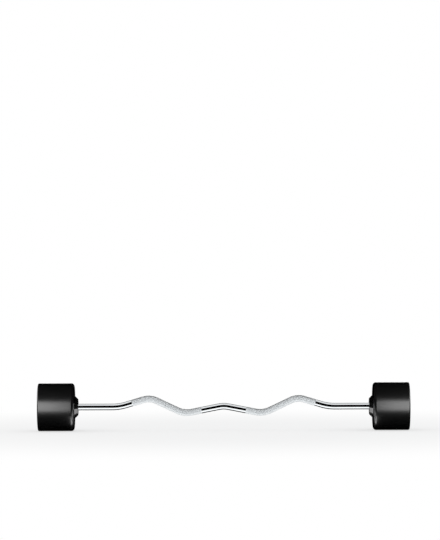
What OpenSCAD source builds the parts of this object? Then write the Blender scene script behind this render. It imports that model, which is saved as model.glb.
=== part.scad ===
// A fixed-weight EZ curl bar: a bent, chromed bar that carries one rubber covered
// iron weight at each end. All sizes are in millimetres.
// The bar runs along X, its bends lie in the XZ plane, and +Z is up.
// The origin is on the axis of the two weights, midway between them.

/* [Bar] */
// Diameter of the bar
bar_d = 25; // [23:0.5:30]
// Distance between the tips of the two collars
grip_span = 1096; // [1040:2:1240]
// Step on the radius where the bar is turned down for the weight
shoulder_h = 1.5; // [1:0.25:2.5]
// How far the full-size bar reaches into each collar
shoulder_depth = 10; // [8:0.5:12]
// How far the knurling stands proud of the bar
knurl_rise = 0.2; // [0.1:0.05:0.4]
// Where the knurling starts, from the middle of the bar
knurl_in = 84; // [60:1:100]
// Where the knurling ends, from the middle of the bar
knurl_out = 345; // [330:1:355]

/* [Bends] */
// Distance from the middle to the outermost bends
rise_x = 393; // [385:1:420]
// Distance from the middle to the outer peaks
peak_x = 277; // [260:1:290]
// Height of the outer peaks' corners over the weights' axis
peak_z = 34.5; // [25:0.5:45]
// Distance from the middle to the valleys
valley_x = 149; // [135:1:165]
// Depth of the valleys' corners under the weights' axis
valley_drop = 26; // [15:0.5:35]
// Height of the middle corner over the weights' axis
middle_z = 3; // [-4:0.5:10]
// Bend radius at the outermost bends
rise_r = 180; // [140:5:220]
// Bend radius at the outer peaks
peak_r = 70; // [60:1:85]
// Bend radius at the valleys
valley_r = 88; // [70:1:100]
// Bend radius at the middle
middle_r = 88; // [70:1:120]

/* [Weights] */
// Diameter of a weight
weight_d = 180; // [165:1:220]
// Width of a weight
weight_w = 138; // [125:1:170]
// Thickness of the rubber cover
cover_t = 6; // [4.5:0.5:8]
// Rounding of the rim that faces the grips
inner_round = 12; // [8:0.5:18]
// Rounding of the outer rim
outer_round = 5.5; // [3:0.5:9]

/* [Collars] */
// Flat facets round the tapered boot
boot_sides = 12; // [8:1:12]
// Turn of the facets about the bar, in degrees
boot_turn = 8; // [0:1:30]
// Height of the boot's cone over the weight's inner face
boot_h = 14; // [11:0.5:20]
// Diameter of the cone at the weight, across its corners
boot_base_d = 90; // [80:1:98]
// Diameter of the cone at its tip, across its corners
boot_tip_d = 62; // [58:1:72]
// Height of the bevel round the cone's tip
boot_bevel = 0.8; // [0.4:0.2:1.6]
// Thickness of the boot in front of the steel collar
boot_front = 3; // [2:0.5:5]
// Diameter of the steel collar's nose
nose_d = 48; // [42:1:50]
// Diameter of the steel collar's flange
flange_d = 104; // [98:1:116]
// Thickness of the steel collar's flange
flange_t = 10; // [8:0.5:14]
// Diameter of the spring pin through collar and bar
pin_d = 6; // [4:0.5:7]
// Bore of the spring pin
pin_bore = 3.4; // [2.4:0.2:3.6]
// Width of the slit along the spring pin
pin_slit = 0.8; // [0.4:0.2:1.2]
// How far each end of the spring pin lies inside the collar's nose
pin_inset = 1; // [0.5:0.5:3]
// Diameter of the dowels between collar and core
dowel_d = 8; // [6:0.5:10]
// How far the dowels reach into the core
dowel_depth = 14; // [10:0.5:20]
// Diameter of the circle that the dowels lie on
dowel_circle_d = 76; // [68:1:84]
// Number of dowels at each collar
dowel_count = 2; // [2:1:4]

/* [End bolts] */
// Thread diameter of the end bolts
bolt_d = 12; // [10:1:14]
// Length of the end bolts under the head
bolt_length = 45; // [40:1:55]
// Diameter of the bolt head
bolt_head_d = 18; // [16:0.5:22]
// Height of the bolt head
bolt_head_h = 12; // [10:0.5:13]
// Width across the flats of the bolt's hexagon socket
socket_flats = 10; // [8:1:12]
// Depth of the bolt's hexagon socket
socket_depth = 6; // [4:0.5:8]
// Unused thread beyond the bolt's tip
thread_spare = 6; // [3:0.5:12]
// Diameter of the clamp washer
washer_d = 58; // [40:1:60]
// Thickness of the clamp washer
washer_t = 6; // [4:0.5:8]
// Diameter of the spring washer
spring_washer_d = 21; // [19:0.5:24]
// Thickness of the spring washer
spring_washer_t = 2.5; // [2:0.25:3.5]
// Gap in the spring washer's ring
spring_washer_split = 1.5; // [1:0.25:3]
// Air between the bar's end and the clamp washer
clamp_air = 2; // [1:0.5:4]

/* [End caps] */
// Diameter of the bolt pocket in the core
pocket_d = 64; // [62:1:72]
// Depth of the bolt pocket in the core
pocket_depth = 30; // [28:0.5:36]
// Diameter of the cap's disc
cap_d = 88; // [82:1:110]
// How far the cap lies below the weight's outer face
cap_sunk = 0.8; // [0.4:0.2:2]
// Height of the rim round the cap
cap_rim_h = 1; // [0.5:0.25:2]
// Width of the rim round the cap
cap_rim_w = 7; // [4:0.5:12]
// Depth of the cap's skirt in the bolt pocket
skirt_depth = 8; // [7:0.5:9]
// Bore of the cap's skirt
skirt_bore = 51; // [46:1:53]
// Section diameter of the sealing ring
seal_d = 3; // [2.5:0.1:3.5]

/* [Fits] */
// Clearance on the radius between pieces that slide together
fit_gap = 0.1; // [0.05:0.05:0.2]
// Chamfer on the turned edges of the steel pieces
edge_chamfer = 1; // [0.4:0.2:1.4]

/* [Hidden] */
$fn = 96;
// How far a cut runs past the face it opens
cut_over = 1;
// How far one stretch of the bar laps into the next, and how much thicker a bend is on the radius
lap = 1;
bend_step = 0.04;

rubber_black = [0.06, 0.06, 0.065];
iron_grey = [0.30, 0.30, 0.31];
chrome_silver = [0.80, 0.82, 0.84];
oxide_black = [0.20, 0.20, 0.22];
zinc_grey = [0.62, 0.63, 0.66];

knurl_d = bar_d + 2 * knurl_rise;
tenon_d = bar_d - 2 * shoulder_h;

// Places along the right half of the bar, from the middle outwards
boot_tip_x = grip_span / 2;
nose_x = boot_tip_x + boot_front;
shoulder_x = boot_tip_x + shoulder_depth;
inner_face_x = boot_tip_x + boot_h;
outer_face_x = inner_face_x + weight_w;
core_in_x = inner_face_x + cover_t;
core_out_x = outer_face_x - cover_t;
flange_out_x = core_in_x + flange_t;
pin_x = (shoulder_x + core_in_x) / 2;
pocket_floor_x = core_out_x - pocket_depth;
tenon_end_x = pocket_floor_x - clamp_air;
spring_washer_x = pocket_floor_x + washer_t;
bolt_seat_x = spring_washer_x + spring_washer_t;
bolt_tip_x = bolt_seat_x - bolt_length;
thread_end_x = bolt_tip_x - thread_spare;
cap_face_x = outer_face_x - cap_sunk;

core_d = weight_d - 2 * cover_t;
core_bore_d = tenon_d + 2 * fit_gap;
core_inner_round = max(inner_round - cover_t, edge_chamfer);
boot_spigot_d = boot_base_d * cos(180 / boot_sides);
seal_ring_r = pocket_d / 2 - fit_gap / 2 - seal_d / 2;
seal_x = core_out_x - skirt_depth / 2;
skirt_d = pocket_d - 4 * fit_gap;

// The corners of the right half of the bar's centre line, as [x, z]
middle = [0, middle_z];
valley = [valley_x, -valley_drop];
left_valley = [-valley_x, -valley_drop];
peak = [peak_x, peak_z];
rise = [rise_x, 0];
shoulder = [shoulder_x, 0];

function heading(a, b) = atan2(b[1] - a[1], b[0] - a[0]);
function turn(a, b, c) = heading(b, c) - heading(a, b);
function setback(a, b, c, r) = r * tan(abs(turn(a, b, c)) / 2);
function towards(a, b, reach) = a + reach * (b - a) / norm(b - a);
function bend_start(a, b, c, r) = towards(b, a, setback(a, b, c, r));
function bend_end(a, b, c, r) = towards(b, c, setback(a, b, c, r));
function at_x(a, b, x) = a + (b - a) * (x - a[0]) / (b[0] - a[0]);

// A solid cylinder along X, with a chamfer at each end
module rod(x0, x1, d, chamfer0 = 0, chamfer1 = 0) {
    translate([x0, 0, 0])
        rotate([0, 90, 0])
            rotate_extrude()
                polygon([
                    [0, 0],
                    [d / 2 - chamfer0, 0],
                    [d / 2, chamfer0],
                    [d / 2, x1 - x0 - chamfer1],
                    [d / 2 - chamfer1, x1 - x0],
                    [0, x1 - x0]
                ]);
}

// A plain round cut along X
module bore(x0, x1, d) {
    translate([x0, 0, 0])
        rotate([0, 90, 0])
            cylinder(d = d, h = x1 - x0);
}

// A disc along X whose two rims are rounded
module rounded_disc(x0, x1, d, round0, round1) {
    translate([x0, 0, 0])
        rotate([0, 90, 0])
            rotate_extrude()
                difference() {
                    square([d / 2, x1 - x0]);
                    rim_cut(d / 2, 0, round0, 1);
                    rim_cut(d / 2, x1 - x0, round1, -1);
                }
}

// What a rounded rim leaves out of a square corner at [r, y]; it runs up or down from there
module rim_cut(r, y, rounding, up) {
    translate([r - rounding, y + up * rounding])
        difference() {
            translate([0, up > 0 ? -rounding - cut_over : 0])
                square([rounding + cut_over, rounding + cut_over]);
            circle(r = rounding);
        }
}

// A straight stretch of the bar between two points of its centre line. It laps a little way
// into the thicker stretches at its ends.
module straight(a, b, d, lap0 = lap, lap1 = lap) {
    start = towards(a, b, -lap0);
    translate([start[0], 0, start[1]])
        rotate([0, 90 - heading(a, b), 0])
            cylinder(d = d, h = norm(b - a) + lap0 + lap1);
}

// The arc that rounds corner b of the centre line on the way from a to c. It is a hair thicker
// than the straights that lap into it, and its circle starts on the bar's underside as theirs do.
module bend(a, b, c, r, d) {
    angle = turn(a, b, c);
    from = heading(a, b);
    centre = bend_start(a, b, c, r) + sign(angle) * r * [-sin(from), cos(from)];
    first = angle > 0 ? from - 90 : from + 90 + angle;
    rotate([90, 0, 0])
        translate([centre[0], centre[1], 0])
            rotate([0, 0, first])
                rotate_extrude(angle = abs(angle))
                    translate([r, 0])
                        rotate(angle > 0 ? 0 : 180)
                            circle(d = d + 2 * bend_step);
}

// The right half of the bent bar, from the middle bend's end to the end of its tenon
module bar_half() {
    knurl_start = at_x(middle, valley, knurl_in);
    knurl_end = at_x(peak, rise, knurl_out);
    straight(bend_end(left_valley, middle, valley, middle_r), knurl_start, bar_d);
    straight(knurl_start, bend_start(middle, valley, peak, valley_r), knurl_d, 0, lap);
    bend(middle, valley, peak, valley_r, knurl_d);
    straight(bend_end(middle, valley, peak, valley_r), bend_start(valley, peak, rise, peak_r), knurl_d);
    bend(valley, peak, rise, peak_r, knurl_d);
    straight(bend_end(valley, peak, rise, peak_r), knurl_end, knurl_d, lap, 0);
    straight(knurl_end, bend_start(peak, rise, shoulder, rise_r), bar_d);
    bend(peak, rise, shoulder, rise_r, bar_d);
    straight(bend_end(peak, rise, shoulder, rise_r), shoulder, bar_d, lap, 0);
    rod(shoulder_x - lap, tenon_end_x, tenon_d, 0, edge_chamfer);
}

// The bent bar, chromed, with a knurled grip on each side of its smooth middle.
// Each end is turned down, drilled across for the spring pin and tapped for the end bolt.
module curl_bar() {
    color(chrome_silver)
        difference() {
            union() {
                bend(left_valley, middle, valley, middle_r, bar_d);
                for (side = [0, 1])
                    mirror([side, 0, 0])
                        bar_half();
            }
            for (side = [0, 1])
                mirror([side, 0, 0]) {
                    bore(thread_end_x, tenon_end_x + cut_over, bolt_d + 2 * fit_gap);
                    pin_hole(tenon_d + 2 * cut_over);
                }
        }
}

// The hole across the bar's axis that the spring pin is driven into
module pin_hole(depth) {
    translate([pin_x, 0, -depth / 2])
        cylinder(d = pin_d + 2 * fit_gap, h = depth);
}

// The moulded cover of a weight: a closed drum, open at the collar and at the end cap
module rubber_cover() {
    color(rubber_black)
        difference() {
            rounded_disc(inner_face_x, outer_face_x, weight_d, inner_round, outer_round);
            rounded_disc(core_in_x, core_out_x, core_d + 2 * fit_gap, core_inner_round, edge_chamfer);
            bore(inner_face_x - cut_over, core_in_x + cut_over, boot_spigot_d + 2 * fit_gap);
            bore(core_out_x - cut_over, outer_face_x + cut_over, cap_d + 2 * fit_gap);
        }
}

// The cast core of a weight, bored for the bar, with a seat for the collar and a bolt pocket
module iron_core() {
    color(iron_grey)
        difference() {
            rounded_disc(core_in_x, core_out_x, core_d, core_inner_round, edge_chamfer);
            bore(core_in_x - cut_over, core_out_x + cut_over, core_bore_d);
            bore(core_in_x - cut_over, flange_out_x, flange_d + 2 * fit_gap);
            bore(pocket_floor_x, core_out_x + cut_over, pocket_d);
            on_dowel_circle()
                bore(flange_out_x - cut_over, flange_out_x + dowel_depth, dowel_d + 2 * fit_gap);
        }
}

// Repeats its children at each dowel's place round the bar
module on_dowel_circle() {
    for (i = [0 : dowel_count - 1])
        rotate([360 * i / dowel_count, 0, 0])
            translate([0, dowel_circle_d / 2, 0])
                children();
}

// The moulded boot over the steel collar: a faceted cone with a bevelled tip, and a round
// spigot that fills the opening in the weight's cover
module collar_boot() {
    slope = (boot_base_d - boot_tip_d) / boot_h;
    color(rubber_black)
        difference() {
            union() {
                translate([inner_face_x, 0, 0])
                    rotate([0, -90, 0])
                        rotate([0, 0, -boot_turn]) {
                            facet_cone(0, boot_h - boot_bevel, boot_base_d, boot_tip_d + slope * boot_bevel);
                            facet_cone(boot_h - boot_bevel, boot_h, boot_tip_d + slope * boot_bevel,
                                boot_tip_d - 2 * boot_bevel);
                        }
                bore(inner_face_x, core_in_x, boot_spigot_d);
            }
            bore(boot_tip_x - cut_over, core_in_x + cut_over, bar_d + 2 * fit_gap);
            bore(nose_x, core_in_x + cut_over, nose_d + 2 * fit_gap);
        }
}

// A cone with flat facets that stands on [0, 0, z0]
module facet_cone(z0, z1, d0, d1) {
    translate([0, 0, z0])
        cylinder(d1 = d0, d2 = d1, h = z1 - z0, $fn = boot_sides);
}

// The steel collar: a nose round the bar, and a flange that the core is bolted against
module hub_collar() {
    color(oxide_black)
        difference() {
            union() {
                rod(nose_x, core_in_x, nose_d, edge_chamfer, 0);
                bore(core_in_x, flange_out_x, flange_d);
            }
            bore(nose_x - cut_over, shoulder_x, bar_d + 2 * fit_gap);
            bore(shoulder_x - cut_over, flange_out_x + cut_over, core_bore_d);
            pin_hole(nose_d + 2 * cut_over);
            on_dowel_circle()
                bore(core_in_x - cut_over, flange_out_x + cut_over, dowel_d + 2 * fit_gap);
        }
}

// The slit spring pin that goes across the collar's nose and the bar
module spring_pin() {
    pin_length = nose_d - 2 * pin_inset;
    color(zinc_grey)
        translate([pin_x, 0, -pin_length / 2])
            difference() {
                cylinder(d = pin_d, h = pin_length);
                translate([0, 0, -cut_over])
                    cylinder(d = pin_bore, h = pin_length + 2 * cut_over);
                translate([0, -pin_slit / 2, -cut_over])
                    cube([pin_d, pin_slit, pin_length + 2 * cut_over]);
            }
}

// The dowels that key the core to the collar's flange
module dowels() {
    color(zinc_grey)
        on_dowel_circle()
            rod(core_in_x + edge_chamfer, flange_out_x + dowel_depth - edge_chamfer, dowel_d,
                edge_chamfer / 2, edge_chamfer / 2);
}

// The thick washer that bears on the floor of the bolt pocket
module clamp_washer() {
    color(zinc_grey)
        difference() {
            rod(pocket_floor_x, spring_washer_x, washer_d, 0, edge_chamfer);
            bore(pocket_floor_x - cut_over, spring_washer_x + cut_over, bolt_d + 10 * fit_gap);
        }
}

// The split spring washer under the bolt's head, pressed flat
module spring_washer() {
    color(zinc_grey)
        difference() {
            bore(spring_washer_x, bolt_seat_x, spring_washer_d);
            bore(spring_washer_x - cut_over, bolt_seat_x + cut_over, bolt_d + 4 * fit_gap);
            translate([spring_washer_x - cut_over, 0, -spring_washer_split / 2])
                cube([spring_washer_t + 2 * cut_over, spring_washer_d, spring_washer_split]);
        }
}

// The socket head bolt that pulls the core onto the collar
module end_bolt() {
    head_top_x = bolt_seat_x + bolt_head_h;
    color(oxide_black)
        difference() {
            union() {
                rod(bolt_tip_x, bolt_seat_x, bolt_d, edge_chamfer, 0);
                rod(bolt_seat_x, head_top_x, bolt_head_d, 0, edge_chamfer);
            }
            translate([head_top_x - socket_depth, 0, 0])
                rotate([0, 90, 0])
                    cylinder(d = socket_flats / cos(30), h = socket_depth + cut_over, $fn = 6);
        }
}

// The push-in cap over the bolt pocket: a disc with a low rim, and a grooved skirt for its seal
module end_cap() {
    color(rubber_black)
        difference() {
            union() {
                rod(core_out_x, cap_face_x, cap_d, 0, edge_chamfer);
                rod(core_out_x - skirt_depth, core_out_x, skirt_d, edge_chamfer / 2, 0);
            }
            bore(core_out_x - skirt_depth - cut_over, core_out_x, skirt_bore);
            bore(cap_face_x - cap_rim_h, cap_face_x + cut_over, cap_d - 2 * cap_rim_w);
            seal_groove();
        }
}

// The groove round the cap's skirt, a little wider than the seal
module seal_groove() {
    groove_w = seal_d + 2 * fit_gap;
    translate([seal_x - groove_w / 2, 0, 0])
        rotate([0, 90, 0])
            difference() {
                cylinder(d = pocket_d, h = groove_w);
                cylinder(r = seal_ring_r - seal_d / 2 - fit_gap / 2, h = groove_w);
            }
}

// The sealing ring that grips the wall of the bolt pocket
module cap_seal() {
    color(rubber_black)
        translate([seal_x, 0, 0])
            rotate([0, 90, 0])
                rotate_extrude()
                    translate([seal_ring_r, 0])
                        circle(d = seal_d);
}

// The pieces above are drawn for the right end; this gives the left end's copy
module left() {
    mirror([1, 0, 0])
        children();
}

curl_bar();
left() rubber_cover();  // left_rubber_cover
left() iron_core();  // left_iron_core
left() collar_boot();  // left_collar_boot
left() hub_collar();  // left_hub_collar
left() spring_pin();  // left_spring_pin
left() dowels();  // left_dowels
left() clamp_washer();  // left_clamp_washer
left() spring_washer();  // left_spring_washer
left() end_bolt();  // left_end_bolt
left() end_cap();  // left_end_cap
left() cap_seal();  // left_cap_seal
rubber_cover();  // right_rubber_cover
iron_core();  // right_iron_core
collar_boot();  // right_collar_boot
hub_collar();  // right_hub_collar
spring_pin();  // right_spring_pin
dowels();  // right_dowels
clamp_washer();  // right_clamp_washer
spring_washer();  // right_spring_washer
end_bolt();  // right_end_bolt
end_cap();  // right_end_cap
cap_seal();  // right_cap_seal
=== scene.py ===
# %% [markdown]
# A fixed-weight curl bar, dressed for its picture.
# The real object is a short barbell for arm curls: a bent, chromed steel bar between two weights in
# black rubber covers. It could be modelled here from nothing, but its sizes would drift from the CAD
# model's. So the imported CAD model gives every piece its size and place, and this lesson adds what CAD
# leaves out: cut grips, soft mould edges, and finishes that hold up close.

# %% Load the imported model
import math

import bpy
import numpy as np
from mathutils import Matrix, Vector


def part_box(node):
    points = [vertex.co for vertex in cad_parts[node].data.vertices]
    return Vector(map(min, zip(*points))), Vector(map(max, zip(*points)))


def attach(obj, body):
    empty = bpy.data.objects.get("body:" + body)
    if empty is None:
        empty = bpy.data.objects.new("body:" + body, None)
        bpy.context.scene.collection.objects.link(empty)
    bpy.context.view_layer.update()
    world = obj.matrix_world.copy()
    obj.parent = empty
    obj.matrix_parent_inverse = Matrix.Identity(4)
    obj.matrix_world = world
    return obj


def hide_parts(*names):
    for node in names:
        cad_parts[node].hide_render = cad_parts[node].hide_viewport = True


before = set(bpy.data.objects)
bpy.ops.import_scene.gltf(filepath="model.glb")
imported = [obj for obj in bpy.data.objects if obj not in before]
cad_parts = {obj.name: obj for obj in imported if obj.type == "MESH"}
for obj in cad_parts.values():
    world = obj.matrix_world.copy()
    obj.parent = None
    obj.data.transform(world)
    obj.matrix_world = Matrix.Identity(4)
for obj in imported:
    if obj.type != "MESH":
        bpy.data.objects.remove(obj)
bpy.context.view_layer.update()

# %% [markdown]
# The bar is the same at both ends, so places are measured on the right-hand side, and the left side is
# its mirror image. Sizes could be typed in, but a typed copy goes stale when the CAD model changes. So
# what a node's box can tell is read from the frame. Only what no box tells, such as the bends, is
# written in millimetres, where it is first needed.

# %% Places read from the frame
MM = 0.001

cover_low, cover_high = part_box("right_rubber_cover")
boot_low, boot_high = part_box("right_collar_boot")
cap_low, cap_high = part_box("right_end_cap")
core_low, core_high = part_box("right_iron_core")
tenon_end_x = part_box("curl_bar")[1].x

inner_face_x, outer_face_x = cover_low.x, cover_high.x
weight_r = cover_high.z
core_in_x, core_out_x = core_low.x, core_high.x
core_r = core_high.z
boot_tip_x, boot_rise = boot_low.x, boot_high.z
cap_in_x, cap_face_x = cap_low.x, cap_high.x
cap_r = cap_high.z
print("weight: x", round(inner_face_x, 4), "to", round(outer_face_x, 4), "radius", round(weight_r, 4))

# %% [markdown]
# Finishes and cut grips are made by node trees, which read best as sums. Wiring every node by hand
# would take four lines for one product. So a small class stands for one output socket, and arithmetic
# on it adds Math nodes. Numbers may stand on either side, so 1 - mask works.


# %% Arithmetic on sockets
def math_method(operation, reflected=False):
    """A method that adds one Math node. Its own socket comes last if it is reflected."""
    def method(self, *others):
        return self.math(operation, *((*others, self) if reflected else (self, *others)))
    return method


class Value:
    """One output socket of a node tree. Arithmetic on it adds Math nodes to the tree."""

    def __init__(self, graph, socket):
        self.graph = graph
        self.socket = socket

    def math(self, operation, *terms):
        return self.graph.add("ShaderNodeMath", {"operation": operation}, dict(enumerate(terms)))

    __add__ = __radd__ = math_method("ADD")
    __mul__ = __rmul__ = math_method("MULTIPLY")
    __sub__, __rsub__ = math_method("SUBTRACT"), math_method("SUBTRACT", reflected=True)
    __truediv__, __rtruediv__ = math_method("DIVIDE"), math_method("DIVIDE", reflected=True)
    __pow__ = math_method("POWER")
    least, most = math_method("MINIMUM"), math_method("MAXIMUM")
    fraction, whole, size = math_method("FRACT"), math_method("ROUND"), math_method("ABSOLUTE")
    sine, cosine, root = math_method("SINE"), math_method("COSINE"), math_method("SQRT")
    # 1 where the socket is more than a level, and 0 elsewhere
    above = math_method("GREATER_THAN")

    def clamped(self):
        return self.most(0.0).least(1.0)

    def ramp(self, low, high):
        """0 below low, 1 above high, and a smooth rise between them."""
        settings = {"interpolation_type": "SMOOTHSTEP"}
        inputs = {"Value": self, "From Min": low, "From Max": high}
        return self.graph.add("ShaderNodeMapRange", settings, inputs)


# %% [markdown]
# Any other node comes from one method, so that no tree needs wiring code of its own. It takes the
# node's type, its settings, which are set first because they can change the sockets, and what goes into
# the sockets: a number, a colour or another node's value.


# %% One method for every node
class Graph:
    """A node tree with one method that adds a node and wires it."""

    def __init__(self, tree):
        self.tree = tree

    def add(self, kind, settings=None, inputs=None, out=None):
        node = self.tree.nodes.new(kind)
        for name, setting in (settings or {}).items():
            setattr(node, name, setting)
        for name, value in (inputs or {}).items():
            self.feed(self.socket_of(node.inputs, name), value)
        return Value(self, self.socket_of(node.outputs, out)) if len(node.outputs) else None

    @staticmethod
    def socket_of(sockets, name):
        """A socket by number or name. A Mix node has several of one name, of which one is enabled."""
        if isinstance(name, int):
            return sockets[name]
        enabled = [s for s in sockets if s.enabled]
        return enabled[0] if name is None else [s for s in enabled if s.name == name][0]

    def feed(self, socket, value):
        if isinstance(value, Value):
            self.tree.links.new(value.socket, socket)
        elif socket.type == "RGBA":
            socket.default_value = (*value, 1.0)
        else:
            socket.default_value = value

    def several(self, kind, names, settings=None, inputs=None):
        """The named outputs of one new node."""
        node = self.add(kind, settings, inputs).socket.node
        return [Value(self, node.outputs[name]) for name in names]

    def parts_of(self, vector):
        return self.several("ShaderNodeSeparateXYZ", ("X", "Y", "Z"), inputs={"Vector": vector})

    def vector(self, operation, *terms, out=None):
        return self.add("ShaderNodeVectorMath", {"operation": operation}, dict(enumerate(terms)), out)

    def mix(self, share, first, second):
        """first where share is 0 and second where it is 1, as colours."""
        inputs = {"Factor": share, "A": first, "B": second}
        return self.add("ShaderNodeMix", {"data_type": "RGBA"}, inputs)

    def noise(self, place, scale, detail=2.0, roughness=0.5):
        inputs = {"Vector": place, "Scale": scale, "Detail": detail, "Roughness": roughness}
        return self.add("ShaderNodeTexNoise", None, inputs)


# %% [markdown]
# The covers and caps are turned shapes, and the bar is a tube along a bent line. Blender could spin a
# profile or sweep a curve, but both leave seams and open ends. So they are rings of points joined by
# faces, closed from the start. A ring has a centre, an up direction and a radius, and one of no radius
# becomes a point, which closes that end.

# %% A mesh from points and faces
SHARP = math.radians(32)


def in_scene(name, data):
    """A new object at the origin, for a mesh, a curve, a lamp or a camera."""
    obj = bpy.data.objects.new(name, data)
    bpy.context.scene.collection.objects.link(obj)
    return obj


def mesh_object(name, points, faces, smooth=True):
    """A new piece, with smooth faces that meet sharply where they turn far."""
    mesh = bpy.data.meshes.new(name)
    mesh.from_pydata([tuple(p) for p in points], [], faces)
    mesh.validate()
    if smooth:
        mesh.polygons.foreach_set("use_smooth", [True] * len(mesh.polygons))
        mesh.set_sharp_from_angle(angle=SHARP)
    return in_scene(name, mesh)


# %% Rings joined into a mesh
SIDE = np.array([0.0, 1.0, 0.0])
UP = np.array([0.0, 0.0, 1.0])
NO_RADIUS = 1e-7


def ringed(name, rings, sides, loop=False):
    """Joins rings of (centre, up, radius). They run along +X over the outside of the piece."""
    points, rows = [], []
    for centre, up, radius in rings:
        if radius < NO_RADIUS:
            rows.append([len(points)] * sides)
            points.append(centre)
            continue
        rows.append(list(range(len(points), len(points) + sides)))
        for k in range(sides):
            angle = math.tau * k / sides
            points.append(centre + radius * (math.cos(angle) * up + math.sin(angle) * SIDE))
    pairs = list(zip(rows, rows[1:] + rows[:1])) if loop else list(zip(rows, rows[1:]))
    faces = []
    for near, far in pairs:
        for k in range(sides):
            j = (k + 1) % sides
            corners = [near[k], far[k], far[j], near[j]]
            kept = [c for i, c in enumerate(corners) if c != corners[i - 1]]
            if len(kept) > 2:
                faces.append(kept)
    return mesh_object(name, points, faces)


# %% [markdown]
# Moulded rubber and bent steel have small arcs for corners. A Bevel modifier could round the finished
# meshes, but it leaves uneven faces where short edges meet. So profiles and the bar's line are drawn as
# corners with a radius on each, and this function puts an arc of small steps at each one before
# anything is turned.

# %% Corners rounded into arcs
ARC_STEP = math.radians(6)


def rounded(corners, arc_step=ARC_STEP):
    """Points along the corners, each given as (x, y, radius)."""
    flat = [np.array(c[:2], float) for c in corners]
    points = []
    for i, (corner, spec) in enumerate(zip(flat, corners)):
        radius = spec[2] if len(spec) > 2 else 0.0
        if radius == 0 or i in (0, len(flat) - 1):
            points.append(corner)
            continue
        back = flat[i - 1] - corner
        ahead = flat[i + 1] - corner
        back, ahead = back / np.linalg.norm(back), ahead / np.linalg.norm(ahead)
        half = math.acos(np.clip(back @ ahead, -1, 1)) / 2
        bisector = (back + ahead) / np.linalg.norm(back + ahead)
        centre = corner + bisector * radius / math.sin(half)
        start = corner + back * radius / math.tan(half) - centre
        turn = math.pi - 2 * half
        if start[0] * bisector[1] > start[1] * bisector[0]:
            turn = -turn
        steps = max(2, math.ceil(abs(turn) / arc_step))
        for k in range(steps + 1):
            c, s = math.cos(turn * k / steps), math.sin(turn * k / steps)
            points.append(centre + np.array([c * start[0] - s * start[1], s * start[0] + c * start[1]]))
    return points


print("a square corner becomes", len(rounded([(0, 0), (1, 0, 0.5), (1, 1)])) - 2, "points")

# %% Turned pieces, and the same piece for the other end
TURNED_SIDES = 224


def turned(name, corners, loop=False):
    """A piece turned about the X axis, from a profile of (x, distance from the axis, rounding)."""
    rings = [(np.array([x, 0.0, 0.0]), UP, r) for x, r in rounded(corners)]
    return ringed(name, rings, TURNED_SIDES, loop)


def both_ends(right):
    """The right-hand piece and its mirror image, by side."""
    name = right.name.replace("right", "left")
    mesh = right.data.copy()
    mesh.name = name
    points = np.zeros(len(mesh.vertices) * 3, np.float32)
    mesh.vertices.foreach_get("co", points)
    points[0::3] *= -1
    mesh.vertices.foreach_set("co", points)
    mesh.flip_normals()
    mesh.update()
    return {"left": in_scene(name, mesh), "right": right}


# %% [markdown]
# The picture was taken level, from far away and half a metre above the bar, which puts the bar low in
# it. The weights' rims show how far: their near sides stand out a little past their far sides. The
# camera could be aimed by eye, but here its lens follows from the scale, in millimetres of the real bar
# for each pixel.

# %% Camera
frame_height_px = 540
mm_per_px = 3.77
camera_away = 13.0
camera_x = -12 * MM
camera_above = 515 * MM
camera_roll = math.radians(0.2)
level_tilt = math.radians(90)
sensor_mm = 36.0

camera_data = bpy.data.cameras.new("camera")
camera_data.sensor_width = sensor_mm
camera_data.lens = sensor_mm * camera_away / (frame_height_px * mm_per_px * MM)
camera = in_scene("camera", camera_data)
camera.location = (camera_x, -camera_away, camera_above)
camera.rotation_euler = (level_tilt, camera_roll, 0)
bpy.context.scene.camera = camera
print("lens:", round(camera_data.lens, 1), "mm")

# %% [markdown]
# A curl bar is bent so that the wrists can turn inwards. Its line rises to an outer peak, falls to a
# valley and rises a little in the middle. A Bezier curve would make bends that are only nearly round.
# A bending machine makes true arcs between straight stretches, so the line is drawn as nine corners
# with a radius on seven of them.

# %% The bar's centre line
rise_x, peak_x, valley_x = 393 * MM, 277 * MM, 149 * MM
peak_z, valley_z, middle_z = 34.5 * MM, -26 * MM, 3 * MM
rise_r, peak_r, valley_r, middle_r = 180 * MM, 70 * MM, 88 * MM, 88 * MM
BEND_STEP = math.radians(1)

right_corners = [
    (valley_x, valley_z, valley_r),
    (peak_x, peak_z, peak_r),
    (rise_x, 0.0, rise_r),
    (tenon_end_x, 0.0),
]
left_corners = [(-x, z, *r) for x, z, *r in reversed(right_corners)]
corner_line = rounded([*left_corners, (0.0, middle_z, middle_r), *right_corners], BEND_STEP)
print("bends:", len(corner_line), "points")

# %% [markdown]
# Rings and diamonds have to be evenly spaced along the steel, but a piece's ends are known by their x.
# Lengths along the arcs could be worked out by formula, bend by bend. It is simpler to split the line
# into points two millimetres apart that know their distance along it, and to read off the rest.

# %% Points along the line
STEP = 2 * MM


def evenly_spaced(points, step):
    """The same line with more points on its long stretches."""
    line = [points[0]]
    for a, b in zip(points, points[1:]):
        count = max(1, math.ceil(np.linalg.norm(b - a) / step))
        line += [a + (b - a) * k / count for k in range(1, count + 1)]
    return np.array(line)


line_points = evenly_spaced(corner_line, STEP)
step_lengths = np.linalg.norm(np.diff(line_points, axis=0), axis=1)
line_length = np.concatenate([[0], np.cumsum(step_lengths)])
print("centre line:", len(line_points), "points,", round(line_length[-1], 4), "m")


# %% Places and rings on the line
def distance_at(x):
    """How far along the line the place with this x lies."""
    return float(np.interp(x, line_points[:, 0], line_length))


def place_at(distance):
    """The x and z of the line at a distance along it."""
    return np.array([np.interp(distance, line_length, line_points[:, i]) for i in (0, 1)])


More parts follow.
